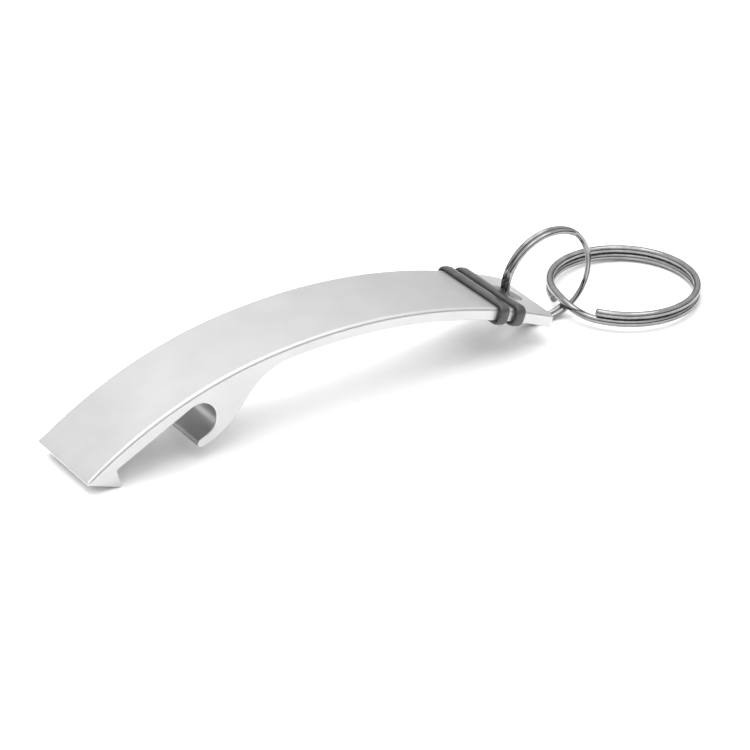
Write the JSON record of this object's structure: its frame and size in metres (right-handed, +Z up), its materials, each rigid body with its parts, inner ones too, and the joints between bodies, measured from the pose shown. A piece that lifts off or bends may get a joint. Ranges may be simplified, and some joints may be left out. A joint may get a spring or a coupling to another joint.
{
  "type": "keychain bottle opener",
  "caption": "Arched flat metal bottle opener with a hooked mouth at the nose, rubber bands round its tail and split rings linked through a tail hole.",
  "frame": {"origin": "centre of the base of the whole object's box, on the table it lies on", "axes": "+X from the nose to the tail and the rings, +Y across the bar, +Z up"},
  "size_m": [0.114, 0.0248, 0.0168],
  "materials": {
    "satin_aluminium": "fine bead-blasted satin",
    "black_rubber": "smooth, slightly shiny",
    "plated_steel": "bright nickel plate"
  },
  "bodies": {
    "opener": {"opener_bar": "satin_aluminium"},
    "front_band": {"front_rubber_band": "black_rubber"},
    "rear_band": {"rear_rubber_band": "black_rubber"},
    "small_ring": {"small_split_ring": "plated_steel"},
    "large_ring": {"large_split_ring": "plated_steel"}
  },
  "joints": [
    {"name": "front_band_slide", "type": "hinge", "parent": "opener", "child": "front_band", "pos_m": [-0.01497, 0.00085, -0.07773], "axis": [0, 1, 0], "range_deg": [-20, 0]},
    {"name": "rear_band_slide", "type": "hinge", "parent": "opener", "child": "rear_band", "pos_m": [-0.01497, 0.00085, -0.07773], "axis": [0, 1, 0], "range_deg": [-0.5, 0]},
    {"name": "small_ring_swing", "type": "hinge", "parent": "opener", "child": "small_ring", "pos_m": [0.02177, -0.00017, 0.00601], "axis": [0, 1, 0], "range_deg": [0, 78]},
    {"name": "large_ring_swing", "type": "hinge", "parent": "small_ring", "child": "large_ring", "pos_m": [0.03347, -0.00037, 0.00164], "axis": [0.8535, -0.0392, 0.5196], "range_deg": [0, 85]}
  ]
}
